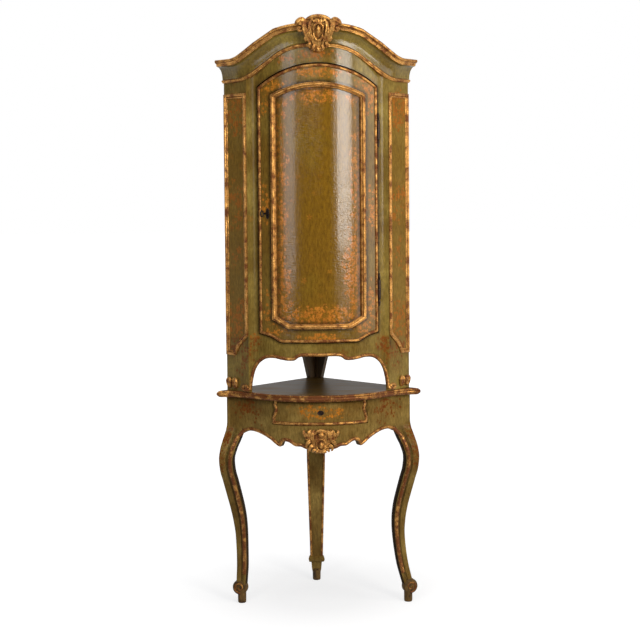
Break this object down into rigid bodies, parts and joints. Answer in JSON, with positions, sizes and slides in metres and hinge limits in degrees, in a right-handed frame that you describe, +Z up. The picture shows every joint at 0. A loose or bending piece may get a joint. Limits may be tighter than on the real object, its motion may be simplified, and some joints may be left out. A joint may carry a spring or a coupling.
{
  "type": "corner cupboard",
  "caption": "Bow-front corner cupboard with an arched door on a corner stand with a drawer and cabriole legs.",
  "frame": {"origin": "middle of the footprint box, on the floor", "axes": "+Z up, the front faces -Y, and the two walls of the room meet at +Y"},
  "size_m": [0.752, 0.552, 2.1645],
  "materials": {
    "green": "olive green paint under old varnish",
    "panel": "yellow-brown olive paint under glossy old varnish",
    "gilt": "worn water gilding over red bole",
    "dark_top": "dark brown varnished",
    "bare_wood": "bare old pine",
    "iron": "dark forged iron"
  },
  "bodies": {
    "carcass": {"front_stile_right": "green", "front_stile_left": "green", "top_rail": "green", "bottom_rail": "green", "cornice_cove": "green", "stand_apron": "green", "front_leg_right": "green", "front_leg_left": "green", "back_leg": "green", "side_rail_right": "green", "side_rail_left": "green", "neck_bead": "gilt", "crown_moulding": "gilt", "pilaster_frame_right": "gilt", "pilaster_frame_left": "gilt", "apron_bead": "gilt", "foot_volutes_right": "gilt", "foot_volutes_left": "gilt", "crest": "gilt", "stand_top_edge": "gilt", "stand_apron_bead": "gilt", "leg_bead_right": "gilt", "leg_bead_left": "gilt", "back_leg_bead_right": "gilt", "back_leg_bead_left": "gilt", "apron_shell": "gilt", "stand_top": "dark_top", "back_board_right": "bare_wood", "back_board_left": "bare_wood", "cabinet_floor": "bare_wood", "shelf_lower": "bare_wood", "shelf_upper": "bare_wood", "cabinet_top": "bare_wood", "drawer_runner_right": "bare_wood", "drawer_runner_left": "bare_wood", "lower_hinge_frame_leaf": "iron", "upper_hinge_frame_leaf": "iron", "lower_hinge_pin": "iron", "upper_hinge_pin": "iron"},
    "door": {"hinge_stile": "green", "lock_stile": "green", "door_top_rail": "green", "door_bottom_rail": "green", "door_panel": "panel", "panel_moulding": "gilt", "door_bead": "gilt", "lower_hinge_door_leaf": "iron", "upper_hinge_door_leaf": "iron", "lock_case": "iron", "keyhole_plate": "iron"},
    "key": {"door_key": "iron"},
    "bolt": {"lock_bolt": "iron"},
    "drawer": {"drawer_front": "green", "drawer_side_right": "bare_wood", "drawer_side_left": "bare_wood", "drawer_back": "bare_wood", "drawer_bottom": "bare_wood", "drawer_lock": "iron", "drawer_moulding": "gilt"}
  },
  "joints": [
    {"name": "door_hinge", "type": "hinge", "parent": "carcass", "child": "door", "pos_m": [0.21984, -0.15595, 1.4685], "axis": [0, 0, 1], "range_deg": [0, 150]},
    {"name": "key_turn", "type": "hinge", "parent": "door", "child": "key", "pos_m": [-0.183, -0.17103, 1.459], "axis": [-0.4816, -0.8764, 0], "range_deg": [0, 180]},
    {"name": "bolt_slide", "type": "slide", "parent": "door", "child": "bolt", "axis": [-0.8764, 0.4816, 0], "range_m": [0, 0.014]},
    {"name": "drawer_slide", "type": "slide", "parent": "carcass", "child": "drawer", "axis": [0, -1, 0], "range_m": [0, 0.18]}
  ],
  "couplings": [
    {"joint": "key_turn", "follows": "bolt_slide", "rad_per_m": 224.3}
  ]
}
